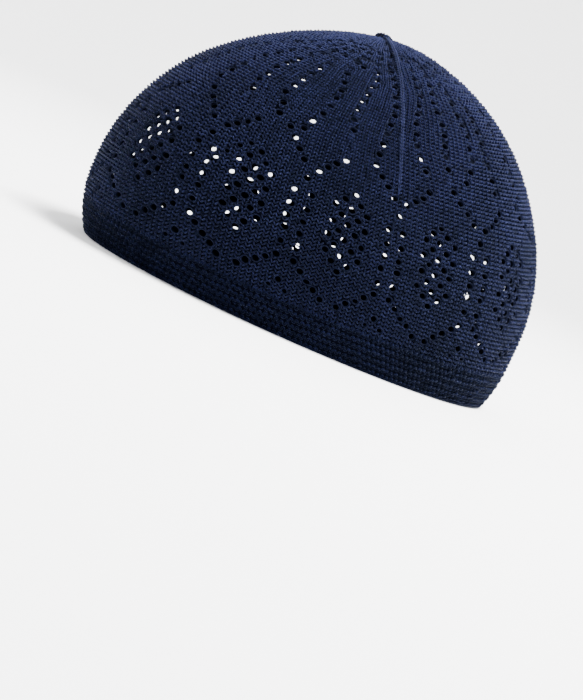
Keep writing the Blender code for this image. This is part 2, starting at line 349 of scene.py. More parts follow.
lace = {
    "bottomV": [(1, -1), (2, 2.4), (3, 5.4), (4, 8.5), (5, 11.8)],
    "sideCourses": [18.3, 25.6, 31.5, 37.8, 45.2],
    "junction": (6, 52.6),
    "leftTop": [(-5, 59.0), (-4, 62.5), (-3, 66.0), (-2, 69.8)],
    "rightTop": [(5, 60.4), (4, 65.0), (3, 69.3), (2, 74.0)],
    "clusterFirst": 15.6,
    "clusterStep": 3.89,
    "clusterRows": 11,
    "footTriangle": [(6, 0.5), (5, -3.9), (7, -3.9)],
    # column, course and size of the knitter's slips
    "slips": [(-16.5, 42, 0.8), (-15.5, 48, 0.8), (-14.5, 52.5, 0.8), (-13.5, 56.5, 0.8),
              (-5, 21.5, 0.35), (-2.2, 28.5, 0.4), (-4.5, 131, 1.0), (-4.5, 138, 1.0)],
    "halfWidth": 0.00170,
    "halfHeight": 0.00118,
    "crownHalfWidth": 0.00165,
    "crownHalfHeight": 0.00118,
    "clear": 1.17,  # how far yarn keeps from an eyelet's middle, in its half sizes
    "crownSpacing": 6.3,
    "crownEnd": 156,
    "jitterColumn": 0.07,
    "jitterCourse": 0.22,
    "jitterSize": 0.07,
    "seed": 11,
    "footBelow": -2, "footSize": 0.75,  # the eyelets under this course are smaller
    "fadeCourses": [80, 110, 156], "fadeSizes": [1.0, 0.95, 0.8],
    "sway": 0.35, "swayTurn": 1.7,  # of the plain crown lines, in columns and radians
    "openPower": 4,
    "openReach": 3,  # half sizes from an eyelet where yarn still gives way
    "leastRadius": 0.05, "farRadius": 9.0,
    "searchCourses": 5, "searchBatch": 3000,
    # chart of the crown's eyelet lines at these courses, in half columns, where they wander
    "lineCourses": [76, 92, 108, 124, 140, 156],
    "wanderingLines": [
        (-29, -27.5, -27, -23.5, -18, -14),
        (-23, -22, -21.5, -18.5, -15, -11.5),
        (-17, -17.5, -17, -15, -12, -9),
        (-12, -13, -12, -11, -9.5, -7),
        (-8.5, -6.5, -6, -7, -5.5, -4.5),
        (-1.5, -2.5, -2, -0.5, -1.5, -2),
        (2, 3, 4, 3.5, 2.5, 1),
        (10, 8, 8, 9.5, 9, 8),
        (13.5, 13, 13.5, 12.5, 14, 13),
        (15.5, 18, 18.5, 18, 17.5, 17),
    ],
    "lineStarts": [78, 82, 84, 78, 76, 87, 80, 80, 85, 81],
    "plainLines": (-2.3, 3.3),  # from a hexagon's middle, everywhere else
    "plainRepeats": range(2, 10),
    "plainStart": 79,
}


def hexagonEyelets():
    spots = [(side * column, course) for column, course in lace["bottomV"] for side in (-1, 1)]
    spots += [(side * 5, course) for course in lace["sideCourses"] for side in (-1, 1)]
    spots += [lace["junction"]] + lace["leftTop"] + lace["rightTop"] + lace["footTriangle"]
    for row in range(lace["clusterRows"]):
        course = lace["clusterFirst"] + lace["clusterStep"] * row
        columns = (-1, 1) if row % 2 else (-2, 0, 2)
        if row in (0, lace["clusterRows"] - 1):
            columns = (0,)
        spots += [(column, course) for column in columns]
    return np.array(spots, float)


def crownLines():
    # each line as its columns at lineCourses, sorted round the cap, with its first course
    rows = list(zip(lace["wanderingLines"], lace["lineStarts"]))
    for repeat in lace["plainRepeats"]:
        for offset in lace["plainLines"]:
            column = repeat * chart["columnsPerRepeat"] + offset
            sway = lace["sway"] * np.sin(np.arange(len(lace["lineCourses"])) * lace["swayTurn"] + column)
            rows.append((tuple(column + sway), lace["plainStart"]))
    rows.sort(key=lambda row: row[0][0])
    return np.array([row[0] for row in rows]), np.array([row[1] for row in rows], float)


lineColumns, lineStarts = crownLines()


def lineAt(course):
    # column of every crown line at one course, held straight past the chart's ends
    at = np.clip(course, lace["lineCourses"][0], lace["lineCourses"][-1])
    return np.array([np.interp(at, lace["lineCourses"], row) for row in lineColumns])


def allEyelets():
    # column, course, half width and half height of every eyelet, with a hand knitter's small slips
    rng = np.random.default_rng(lace["seed"])
    low = hexagonEyelets()
    shift = np.arange(chart["repeats"])[:, None, None] * np.array([chart["columnsPerRepeat"], 0.0])
    low = (low[None] + shift).reshape(-1, 2)
    size = np.full((len(low), 2), (lace["halfWidth"], lace["halfHeight"]))
    small = low[:, 1] < lace["footBelow"]
    size[small] *= lace["footSize"]
    slips = np.array(lace["slips"])
    low = np.concatenate([low, slips[:, :2]])
    size = np.concatenate([size, slips[:, 2:] * (lace["halfWidth"], lace["halfHeight"])])
    high = []
    for number, start in enumerate(lineStarts):
        for course in np.arange(start, lace["crownEnd"], lace["crownSpacing"]):
            high.append((lineAt(course)[number], course))
    high = np.array(high)
    fade = np.interp(high[:, 1], lace["fadeCourses"], lace["fadeSizes"])[:, None]
    highSize = np.full((len(high), 2), (lace["crownHalfWidth"], lace["crownHalfHeight"])) * fade
    spots = np.concatenate([low, high])
    spots += rng.normal(0, 1, spots.shape) * (lace["jitterColumn"], lace["jitterCourse"])
    size = np.concatenate([size, highSize]) * (1 + rng.normal(0, lace["jitterSize"], spots.shape))
    return np.concatenate([spots, size], 1)


eyelets = allEyelets()
print("cap: %d eyelets charted" % len(eyelets))


def columnGap(a, b):
    # shortest signed way round from b to a, in columns
    half = chart["columns"] / 2
    return (a - b + half) % chart["columns"] - half


def openEyelets(column, course):
    # pushes chart places out of the nearest eyelet: radius r becomes (r^4 + clear^4)^(1/4), in its half sizes
    shape = column.shape
    column, course = column.ravel().copy(), course.ravel().copy()
    order = np.argsort(course)
    nearest = np.full(len(column), -1)
    radius = np.full(len(column), lace["farRadius"])
    for part in np.array_split(order, max(1, len(order) // lace["searchBatch"])):
        low, high = course[part].min() - lace["searchCourses"], course[part].max() + lace["searchCourses"]
        close = np.where((eyelets[:, 1] > low) & (eyelets[:, 1] < high))[0]
        if len(close) == 0:
            continue
        spot = eyelets[close]
        width = meanColumn(spot[:, 1])
        dx = columnGap(column[part][:, None], spot[None, :, 0]) * width / spot[:, 2]
        dy = (course[part][:, None] - spot[None, :, 1]) * chart["courseRise"] / spot[:, 3]
        r = np.hypot(dx, dy)
        best = r.argmin(1)
        nearest[part] = close[best]
        radius[part] = r[np.arange(len(part)), best]
    touched = (nearest >= 0) & (radius < lace["openReach"])
    spot = eyelets[nearest[touched]]
    r = np.maximum(radius[touched], lace["leastRadius"])
    power = lace["openPower"]
    grow = (r ** power + lace["clear"] ** power) ** (1 / power) / r
    dx = columnGap(column[touched], spot[:, 0])
    column[touched] = spot[:, 0] + dx * grow
    course[touched] = spot[:, 1] + (course[touched] - spot[:, 1]) * grow
    return column.reshape(shape), course.reshape(shape), radius.reshape(shape)


# Ground knit: the closed wall behind the stitches, open at every eyelet

ground = {
    "lift": -0.00108,
    "wall": 0.0006,
    "open": 1.10,  # its openings over the eyelets' half sizes
    # course where a zone starts, mesh columns per chart column, courses per row
    "zones": [(groundCourse - 2.5, 3, 2.0), (94, 1.5, 2.0), (150, 0.75, 3.0)],  # tucked into the band
    "poleMargin": 1.5,
    "tone": 0.5,
}


def makeGround():
    levels, counts = [], []
    zones = ground["zones"] + [(poleCourse - ground["poleMargin"], 0, 0)]
    for (start, fine, rise), (end, _, _) in zip(zones, zones[1:]):
        rows = int(round((end - start) / rise))
        for row in range(rows):
            levels.append(start + (end - start) * row / rows)
            counts.append(int(chart["columns"] * fine))
    levels.append(poleCourse - ground["poleMargin"])
    counts.append(counts[-1])
    levels, counts = np.array(levels), np.array(counts)
    first = np.concatenate([[0], np.cumsum(counts)])
    column = np.concatenate([np.arange(n) * chart["columns"] / n for n in counts])
    course = np.concatenate([np.full(n, level) for n, level in zip(counts, levels)])
    gone = np.zeros(len(column), bool)
    aroundHole = [(1, 0), (1, 1), (0, 1), (-1, 1), (-1, 0), (-1, -1), (0, -1), (1, -1)]
    for spot in eyelets:
        row = int(np.abs(levels - spot[1]).argmin())
        if row < 1 or row > len(levels) - 3:
            continue
        count = counts[row]
        if counts[row + 1] != count or counts[row - 1] != count:
            continue
        at = int(round(spot[0] / chart["columns"] * count))
        middle = first[row] + at % count
        if gone[middle]:
            continue
        gone[middle] = True
        width = meanColumn(spot[1])
        for across, up in aroundHole:
            near = first[row + up] + (at + across) % count
            reach = np.hypot(across, up)
            column[near] = spot[0] + ground["open"] * across / reach * spot[2] / width
            course[near] = spot[1] + ground["open"] * up / reach * spot[3] / chart["courseRise"]
    faces = []
    for row in range(len(levels) - 1):
        n, m = counts[row], counts[row + 1]
        a, b = first[row], first[row + 1]
        i = np.arange(m)
        if n == m:
            quads = np.stack([a + i, a + (i + 1) % n, b + (i + 1) % m, b + i], 1)
        else:
            quads = np.stack([a + 2 * i, a + 2 * i + 1, a + (2 * i + 2) % n, b + (i + 1) % m, b + i], 1)
        keep = ~gone[quads].any(1)
        faces += quads[keep].tolist()
    points = onCap(column, course, np.full(len(column), ground["lift"]))
    pole = onCap(0.0, poleCourse, ground["lift"])
    points = np.concatenate([points, pole[None]])
    last = first[-2]
    faces += [[last + i, last + (i + 1) % counts[-1], len(points) - 1] for i in range(counts[-1])]
    used = np.zeros(len(points), bool)
    used[np.concatenate([np.array(f) for f in faces])] = True
    index = np.cumsum(used) - 1
    faces = [[int(index[v]) for v in f] for f in faces]
    # near-black wall: painted shade behind the gaps between stitches
    thing = makeObject("knitGround", points[used], faces, groundShadeYarn, tone=ground["tone"])
    wall = thing.modifiers.new("Wall", "SOLIDIFY")
    wall.thickness = ground["wall"]
    wall.offset = -1
    return thing


# Seam: its line and sizes, which the stitches beside it keep clear of

seam = {
    "topColumn": 3.4, "endColumn": 5.5,
    "endCourse": 60, "topMargin": 3.6,
    "topHalf": 0.00150, "endHalf": 0.00110,
    "topRise": 0.0012, "endRise": 0.0002,
    "stations": 120, "sides": 10,
    "clear": 0.0007, "clearFrom": 95, "clearFull": 135,
    "grooveAt": 0.0018, "grooveHalf": 0.00070, "grooveDepth": 0.00045, "grooveShade": 0.75,
    "grooveFrom": 110, "grooveFull": 150,  # courses between which the groove deepens
    "fadeIn": 0.07, "fadeInLeast": 0.15,  # the ends' taper, in shares of the seam and of its size
    "fadeOut": 0.02, "fadeOutLeast": 0.4,
    "coreShare": 0.85, "coreDrop": 0.0004, "coreFloor": -0.5,
    "legLength": 1.44, "legStart": -0.42,  # rows
    "placeSpread": 0.05,
    "toneSpread": 0.18, "toneLeast": 0.4, "toneMost": 1.5,
    "legHalf": 0.33, "legRise": 0.00048, "sink": 0.0003,
    # place across as a share of the half width, slant, tone
    "chains": [(-0.46, -0.40, 0.72), (0.46, 0.40, 1.0)],
    "seed": 21,
}
seamLength = poleCourse - seam["topMargin"] - seam["endCourse"]  # courses


def seamMiddle(along):
    # column of the seam's middle line, which bends towards the tip
    return seam["endColumn"] + (seam["topColumn"] - seam["endColumn"]) * along ** 2


# A leg of yarn: a tip, three rings of four points over its round back, the other tip

leg = {
    "ringPlaces": (0.20, 0.50, 0.80),
    "ringWidths": (0.80, 1.0, 0.80),
    "ringRises": (0.60, 1.0, 0.60),
    # these tones darken each leg's tips and sides: painted shade in the gaps between legs
    "ringShades": (0.50, 1.0, 0.50),
    "across": (-1.0, -0.56, 0.56, 1.0),
    "up": (0.25, 1.0, 1.0, 0.25),
    "acrossShades": (0.12, 1.0, 1.0, 0.12),
    "tipShade": 0.06,
    "toneMost": 1.4,
    "overHigh": 1.6, "overLow": 0.6,  # how a leg on the seam or the tip stands over and under its line
}


def ringed(first, rings, last):
    return np.concatenate([[first], np.ravel(rings), [last]])


legAlong = ringed(0, np.repeat(leg["ringPlaces"], 4), 1)
legAcross = ringed(0, np.outer(leg["ringWidths"], leg["across"]), 0)
legUp = ringed(0, np.outer(leg["ringRises"], leg["up"]), 0)
legShade = ringed(leg["tipShade"], np.outer(leg["ringShades"], leg["acrossShades"]), leg["tipShade"])


def makeLegFaces():
    # a fan of triangles at each tip, and two triangles to each side between rings
    side = np.arange(4)
    after = (side + 1) % 4
    last = len(legAlong) - 1
    fans = [np.stack([0 * side, 1 + after, 1 + side], 1),
            np.stack([0 * side + last, last - 4 + side, last - 4 + after], 1)]
    walls = []
    for ring in (1, 5):
        a, b, c, d = ring + side, ring + after, ring + 4 + after, ring + 4 + side
        walls += [np.stack([a, b, c], 1), np.stack([a, c, d], 1)]
    return np.concatenate(fans + walls)


legFaces = makeLegFaces()
legMiddle = [0, 2, 3, 6, 7, 10, 11, 13]  # tips and the tops of the rings
legTop = 6  # a point on top of the middle ring


def makeLegs(name, points, normals, material, topTone):
    # one mesh of many legs; tone rises from the tips and sides to the round back: painted shade where the
    # legs meet in the gaps
    count, each = points.shape[:2]
    faces = legFaces[None] + each * np.arange(count)[:, None, None]
    a, b, c = points[:, legTop], points[:, legTop + 1], points[:, legTop + 5]
    inside = np.sum(np.cross(b - a, c - b) * normals, 1) < 0
    faces[inside] = faces[inside][:, :, ::-1]
    tone = np.clip(topTone[:, None] * legShade, 0, leg["toneMost"])
    return makeObject(name, points.reshape(-1, 3), faces.reshape(-1, 3), material, tone=tone.ravel())


# Stitches: each one two legs, slanting apart from its foot to its head

stitch = {
    "firstCourse": -8.32,  # sets the rows so that an eyelet takes a stitch's place
    "lastMargin": 5.0,
    "tipLow": -0.30, "tipHigh": 0.86,  # rows
    "footSpread": 0.03, "headSpread": 0.47,  # shares of a wale
    "yarnHalf": 0.165,
    "under": -0.00105, "rise": 0.00040, "riseSpread": 0.00014,
    "tuck": 0.0006,  # the first row dips under the band
    "topTone": 0.86, "toneSpread": 0.24,
    "flatten": 0.85,  # how closely the pitch holds on the crown
    "edge": 0.42,  # wales kept clear of a crown line's own wale
    "openShare": 0.58,  # legs nearer than this to an eyelet's middle go
    "seed": 5,
    "slip": 0.035,
    "perPiece": 20,  # rows
    "toneLeast": 0.25, "toneMost": 1.3,
    "paintedLightCourses": [0, 60, 120], "paintedLightTones": [0.62, 0.83, 1.18],  # painted top light: darker lower down, lighter higher up
    "mostWales": 20,  # to each side of a sector's middle
}
lineBase = lace["lineCourses"][0]


def crownWales(course):
    # middle and half width of each sector between crown lines, and the width of a wale there
    edges = lineAt(course)
    following = np.roll(edges, -1)
    following[-1] += chart["columns"]
    grow = (meanColumn(lineBase) / meanColumn(course)) ** stitch["flatten"]
    return 0.5 * (edges + following), 0.5 * (following - edges), grow / chart["walesPerColumn"]


baseMiddle = crownWales(lineBase)[0]
wales = chart["walesPerColumn"]
phase = (np.floor(baseMiddle * wales) + 0.5) / wales - baseMiddle  # keeps the wales running on


def waleColumns(course, sector, number):
    middle, _, width = crownWales(course)
    return middle[sector] + phase[sector] * width * wales + number * width


def stitchRow(course):
    # columns of one row's stitches at their feet and heads, and the wale's width
    low, high = (course + stitch[key] * chart["rowCourses"] for key in ("tipLow", "tipHigh"))
    if course < lineBase:
        x = (np.arange(chart["wales"]) + 0.5) / wales
        return x, x, 1.0 / wales
    reach = np.arange(-stitch["mostWales"], stitch["mostWales"] + 1)
    sector, number = np.meshgrid(np.arange(len(lineColumns)), reach, indexing="ij")
    sector, number = sector.ravel(), number.ravel()
    middle, half, width = crownWales(course)
    x = waleColumns(course, sector, number)
    keep = np.abs(x - middle[sector]) < half[sector] - stitch["edge"] * width
    sector, number = sector[keep], number[keep]
    return (np.concatenate([waleColumns(low, sector, number), lineAt(low)]),
            np.concatenate([waleColumns(high, sector, number), lineAt(high)]), width)


def seamOffset(column, course):
    # metres from the seam's middle line to a chart place, to the right of it positive
    along = np.clip((course - seam["endCourse"]) / seamLength, 0, 1)
    return columnGap(column, seamMiddle(along)) * meanColumn(course)


def makeStitches():
    rng = np.random.default_rng(stitch["seed"])
    s = stitch
    things, batch, total = [], [], 0
    courses = np.arange(s["firstCourse"], poleCourse - s["lastMargin"], chart["rowCourses"])
    for number, course in enumerate(courses):
        low, high, width = stitchRow(course)
        offset = seamOffset(0.5 * (low + high), course)
        parted = np.interp(course, [seam["clearFrom"], seam["clearFull"]], [0, seam["clear"]])
        away = np.abs(offset) >= parted
        low, high, offset = low[away], high[away], offset[away]
        n = len(low)
        groove = np.exp(-((offset + seam["grooveAt"]) / seam["grooveHalf"]) ** 2)
        groove *= np.interp(course, [seam["grooveFrom"], seam["grooveFull"]], [0, 1])
        slip = rng.normal(0, s["slip"], (n, 2)) * (width, 1.0)
        foot = course + s["tipLow"] * chart["rowCourses"] + slip[:, 1]
        head = course + s["tipHigh"] * chart["rowCourses"] + slip[:, 1]
        for side in (-1, 1):
            x0 = low + side * s["footSpread"] * width + slip[:, 0]
            x1 = high + side * s["headSpread"] * width + slip[:, 0]
            xs = x0[:, None] + (x1 - x0)[:, None] * legAlong + s["yarnHalf"] * width * legAcross
            cs = foot[:, None] + (head - foot)[:, None] * legAlong
            rise = s["rise"] + rng.normal(0, s["riseSpread"], n) - seam["grooveDepth"] * groove
            rise -= s["tuck"] * (number == 0)
            h = s["under"] + (rise - s["under"])[:, None] * legUp
            tone = s["topTone"] + rng.normal(0, s["toneSpread"], n)
            tone = np.clip(tone, s["toneLeast"], s["toneMost"])
            # painted top light: tone darker lower down, lighter higher up
            light = np.interp(course, s["paintedLightCourses"], s["paintedLightTones"])
            # painted shade in the groove beside the seam
            tone *= (1 - seam["grooveShade"] * groove) * light
            batch.append((xs, cs, h, tone))
        if (number + 1) % s["perPiece"] == 0 or number == len(courses) - 1:
            xs, cs, h, tone = (np.concatenate([b[k] for b in batch]) for k in range(4))
            batch = []
            _, _, radius = openEyelets(xs[:, legMiddle], cs[:, legMiddle])
            keep = radius.min(1) > s["openShare"]
            xs, cs, h, tone = xs[keep], cs[keep], h[keep], tone[keep]
            xs, cs, _ = openEyelets(xs, cs)
            total += len(legFaces) * len(xs)
            normals = lookUp(xs[:, legTop], cs[:, legTop])[:, 3:6]
            name = "knitCourses_%d" % (len(things) + 1)
            things.append(makeLegs(name, onCap(xs, cs, h), normals, knitYarn, tone))
    print("cap: %d pieces of stitches, %d triangles" % (len(things), total))
    return things


# Eyelet rims: a loop of yarn round each opening

# the rims' low tone paints them dark: painted shade round the eyelets
rim = {"around": 12, "sides": 4, "yarn": 0.00026, "lift": -0.00066, "grow": 1.20, "tone": 0.22}


def makeRims():
    turn = circle(rim["around"])
    roll = circle(rim["sides"])
    spot = eyelets[:, :, None, None]
    out = rim["grow"] + rim["yarn"] * np.cos(roll)[None, None, :] / spot[:, 3]
    width = meanColumn(eyelets[:, 1])[:, None, None]
    column = spot[:, 0] + out * np.cos(turn)[None, :, None] * spot[:, 2] / width
    course = spot[:, 1] + out * np.sin(turn)[None, :, None] * spot[:, 3] / chart["courseRise"]
    lift = np.broadcast_to(rim["lift"] + rim["yarn"] * np.sin(roll)[None, None, :], column.shape)
    points = onCap(column, course, lift).reshape(-1, 3)
    one = gridFaces(rim["around"], rim["sides"], True, True)
    each = rim["around"] * rim["sides"]
    faces = (one[None] + each * np.arange(len(eyelets))[:, None, None]).reshape(-1, 4)
    return makeObject("eyeletRims", points, faces[:, ::-1], knitYarn, tone=rim["tone"])


# Edge band: garter ridges of purl bumps on a closed ribbed ring

band = {
    "ridges": 6,
    "wall": 0.0021,
    "sink": 0.00085,  # the ring behind the loops lies this far under the surface
    "groundColumns": 288,
    "ridgeRows": 4,
    "stagger": 0.5,  # of a loop, from one ridge to the next
    "loops": 216,  # round the cap
    "loopHalf": 0.35, "loopFoot": 0.10, "loopTop": 0.66,  # shares of a loop's pitch and of a ridge
    "loopYarn": 0.00055,
    "loopRise": 0.00060, "loopUnder": -0.00060,
    "stations": 7, "sides": 4,
    "fillUp": 0.10, "fillHalf": 0.21, "fillSag": 0.24,  # shares of a ridge
    "fillUnder": -0.00085, "fillRise": 0.00010,
    "lowest": 0.00004,
    "edgeYarn": 0.00042, "edgeSides": 6, "edgeStations": 720,
    "sizeSpread": 0.09, "placeSpread": 0.05, "upSpread": 0.03,  # how uneven the loops are
    "footYarn": 0.72, "archYarn": 0.28,  # thickness at a loop's feet, and what its arch adds
    "archPower": 0.8, "bulgePower": 0.7, "crestPower": 1.5,
    # the foot and side tones are painted shade at the loops' feet and on their sides
    "topTone": 0.85, "footShade": 0.18, "sideShade": 0.45, "backTone": 0.55,
    "toneSpread": 0.28, "toneLeast": 0.3, "toneMost": 1.6,
    # the fill's low tone is painted shade under and between the loops
    "fillSpread": 0.04, "fillShadeTone": 0.42, "fillToneSpread": 0.15, "fillToneLeast": 0.1,
    "groundRise": 0.0001, "groundTone": 0.6,
    "edgeTwist": 0.14, "edgeUp": 1.16, "edgeIn": 0.00012, "edgeTone": 0.42,
    "widthCourse": -20.0,  # where a column's width is read for the whole band
    "seed": 3,
}


def bandCourse(up):
    return (up - chart["firstCourse"]) / chart["courseRise"]


def levelOut(column, course, lift):
    # a point of the surface moved straight out, so that the rim stays level
    found = lookUp(column, course)
    flat = found[..., 3:5] / np.linalg.norm(found[..., 3:5], axis=-1, keepdims=True)
    point = found[..., 0:3].copy()
    point[..., 0:2] += flat * np.asarray(lift)[..., None]
    return point


def makeBandGround():
    # closed ring: gently ridged outside, plain inside
    ridge = chart["bandHeight"] / band["ridges"]
    up = np.linspace(0, chart["bandHeight"], band["ridges"] * band["ridgeRows"] + 1)
    out = band["groundRise"] * np.abs(np.sin(np.pi * up / ridge)) - band["sink"]
    up = np.concatenate([up, [chart["bandHeight"], chart["bandHeight"] / 2, 0]])
    out = np.concatenate([out, [-band["wall"]] * 3])
    column = np.arange(band["groundColumns"]) * chart["columns"] / band["groundColumns"]
    lift = np.broadcast_to(out[:, None], (len(up), len(column)))
    points = levelOut(column[None, :], bandCourse(up)[:, None], lift)
    faces = gridFaces(len(up), len(column), True, True)
    # near-black ring: painted shade behind the band's loops
    return makeObject("bandGround", points, faces, groundShadeYarn, tone=band["groundTone"])


def bandPlaces():
    # height of a ridge, pitch of a loop, and every loop's row and number
    row, number = np.meshgrid(np.arange(band["ridges"]), np.arange(band["loops"]), indexing="ij")
    return chart["bandHeight"] / band["ridges"], chart["columns"] / band["loops"], row.ravel(), number.ravel()


def makeBandLoops():
    # each loop is a yarn arch: foot, over the top, foot, a small ring of points carried along it
    b = band
    rng = np.random.default_rng(b["seed"])
    ridge, pitch, row, number = bandPlaces()
    n = len(row)
    row, number = row[:, None, None], number[:, None, None]
    metres = float(meanColumn(b["widthCourse"]))
    turn = np.linspace(0, np.pi, b["stations"])[None, :, None]
    roll = (circle(b["sides"]) + np.pi / 4)[None, None, :]
    size = 1 + rng.normal(0, b["sizeSpread"], (n, 1, 1))
    middle = (number + b["stagger"] * row) * pitch + rng.normal(0, b["placeSpread"], (n, 1, 1)) * pitch
    thick = b["loopYarn"] * size * (b["footYarn"] + b["archYarn"] * np.sin(turn))
    across = thick * np.cos(roll)
    column = middle + b["loopHalf"] * size * pitch * np.cos(turn) + across * np.cos(turn) / metres
    arch = b["loopFoot"] + (b["loopTop"] - b["loopFoot"]) * np.sin(turn) ** b["archPower"] * size
    up = (row + arch) * ridge + across * np.sin(turn) + rng.normal(0, b["upSpread"], (n, 1, 1)) * ridge
    rise = b["loopUnder"] + (b["loopRise"] - b["loopUnder"]) * np.sin(turn) ** b["bulgePower"]
    lift = rise - b["loopYarn"] + thick * np.sin(roll) + 0 * up
    up = np.maximum(up, b["lowest"])
    points = levelOut(column + 0 * lift, bandCourse(up), lift)
    one = gridFaces(b["stations"], b["sides"], False, True)
    ends = np.array([np.arange(b["sides"])[::-1], (b["stations"] - 1) * b["sides"] + np.arange(b["sides"])])
    one = np.concatenate([one, ends])
    each = b["stations"] * b["sides"]
    faces = (one[None] + each * np.arange(n)[:, None, None]).reshape(-1, 4)
    # painted shade: darker at the loops' feet, and on their sides and underside
    archShade = b["footShade"] + (b["topTone"] - b["footShade"]) * np.sin(turn) ** b["crestPower"]
    face = b["sideShade"] + b["backTone"] * np.clip(np.sin(roll), 0, 1)
    uneven = np.clip(1 + rng.normal(0, b["toneSpread"], (n, 1, 1)), b["toneLeast"], b["toneMost"])
    tone = archShade * face * uneven
    return makeObject("bandLoops", points, faces, shadedBandYarn, tone=tone.ravel())


def makeBandFill():
    # a flat-lying leg under and between the loops of every ridge, its ends drawn up
    b = band
    rng = np.random.default_rng(b["seed"] + 1)
    ridge, pitch, row, number = bandPlaces()
    n = len(row)
    middle = (number + b["stagger"] * row + 0.5) * pitch + rng.normal(0, b["fillSpread"], n) * pitch
    up = (row + b["fillUp"]) * ridge + rng.normal(0, b["upSpread"], n) * ridge
    x = middle[:, None] + pitch * (legAlong - 0.5)
    sag = b["fillSag"] * ridge * (2 * legAlong - 1) ** 2
    y = up[:, None] + sag + b["fillHalf"] * ridge * legAcross
    lift = b["fillUnder"] + (b["fillRise"] - b["fillUnder"]) * np.broadcast_to(legUp, x.shape)
    points = levelOut(x, bandCourse(np.maximum(y, b["lowest"])), lift)
    normals = lookUp(x[:, legTop], bandCourse(y[:, legTop]))[:, 3:6]
    # painted shade: the fill is kept darker than the loops over it
    tone = np.clip(b["fillShadeTone"] + rng.normal(0, b["fillToneSpread"], n), b["fillToneLeast"], 1)
    return makeLegs("bandFill", points, normals, shadedBandYarn, tone)


def makeEdge():
    # cast-on cord along the rim: a small twisted round section carried round the oval
    b = band
    column = np.linspace(0, chart["columns"], b["edgeStations"], endpoint=False)[:, None]
    roll = circle(b["edgeSides"])[None, :]
    knot = 1 + b["edgeTwist"] * np.sin(2 * np.pi * column / chart["columns"] * b["loops"] + roll)
    up = b["edgeYarn"] * (b["edgeUp"] + knot * np.sin(roll))
    out = b["edgeYarn"] * knot * np.cos(roll) - b["edgeIn"]
    points = levelOut(column + 0 * roll, bandCourse(up), out)
    faces = gridFaces(b["edgeStations"], b["edgeSides"], True, True)
    return makeObject("castOnEdge", points, faces, shadedBandYarn, tone=b["edgeTone"])


# Seam and tip

def seamPlace(along, across, lift):
    # chart line of the seam, with metres across it and metres out of the knit
    course = seam["endCourse"] + seamLength * along
    column = seamMiddle(along) + across / meanColumn(course)
    return onCap(column, course + 0 * across, lift), lookUp(column, course + 0 * across)[..., 3:6]


def seamSize(along):
    # half width and rise, which taper at both ends
    taper = np.clip(along / seam["fadeIn"], seam["fadeInLeast"], 1)
    taper = taper * np.clip((1 - along) / seam["fadeOut"], seam["fadeOutLeast"], 1)
    half = (seam["endHalf"] + (seam["topHalf"] - seam["endHalf"]) * along) * taper
    rise = (seam["endRise"] + (seam["topRise"] - seam["endRise"]) * along) * taper
    return half, rise


def makeSeam():
    # folded selvedge: half-round core carried along the seam's line
    along = np.linspace(0, 1, seam["stations"])[:, None]
    roll = circle(seam["sides"])[None, :]
    half, rise = seamSize(along)
    lift = (rise - seam["coreDrop"]) * np.maximum(np.sin(roll), seam["coreFloor"]) - seam["sink"]
    points, _ = seamPlace(along, seam["coreShare"] * half * np.cos(roll), lift)
    faces = tubeFaces(seam["stations"], seam["sides"])
    # near-black core: painted shade between the seam's chains
    return makeObject("seamCore", points, faces, groundShadeYarn, tone=1.0)


def makeSeamStitches():
    # chains of slanting legs over the core, each leg at its own place round the half-round
    rng = np.random.default_rng(seam["seed"])
    step = chart["rowCourses"] / seamLength
    rows = np.arange(0.5 * step, 1 - step, step)
    place, chain = np.meshgrid(rows, np.arange(len(seam["chains"])), indexing="ij")
    place, chain = place.ravel(), chain.ravel()
    n = len(place)
    centre, slant, tone = (np.array([row[k] for row in seam["chains"]])[chain] for k in range(3))
    place = place + rng.normal(0, seam["placeSpread"], n) * step
    half, rise = seamSize(place)
    across = centre[:, None] + slant[:, None] * (2 * legAlong - 1) + seam["legHalf"] * legAcross
    across = half[:, None] * across
    along = place[:, None] + step * (seam["legLength"] * legAlong + seam["legStart"])
    arch = np.sqrt(np.clip(1 - (across / half[:, None]) ** 2, 0, 1))
    over = leg["overHigh"] * legUp - leg["overLow"]
    lift = rise[:, None] * arch - seam["sink"] + seam["legRise"] * over
    points, normals = seamPlace(np.clip(along, 0, 1), across, lift)
    top = tone * np.clip(1 + rng.normal(0, seam["toneSpread"], n), seam["toneLeast"], seam["toneMost"])
    return makeLegs("seamChains", points, normals[:, legTop], seamYarn, top)


tip = {
    "radius": 0.0036, "rise": 0.0026, "sink": 0.0007,
    "rings": 14, "around": 66, "topClimb": 0.985,
    "gathers": 11, "gatherDepth": 0.16, "gatherTwist": 3, "gatherPower": 0.5,
    "roundPower": 0.7, "risePower": 0.8,  # how full its shoulder and its top are
    "dent": 0.25, "dentReach": 0.35,  # shares of its rise and of its radius
    "lump": 0.08, "lumps": 2, "lumpTurn": 1,
    "legRings": 3, "legs": 14, "fewer": 3,  # legs in the lowest ring, and how many fewer in each next
    "legHalf": 0.33, "legSlant": 0.20, "legRise": 0.00042,
    "legReach": 0.86, "legPlace": 0.55,  # share of the climb with rings, and a leg's place in one
    "legLength": 1.36, "legHighest": 0.97,
    "placeSpread": 0.1, "tone": 0.6, "toneSpread": 0.18, "toneLeast": 0.2,
    "seed": 8,
}


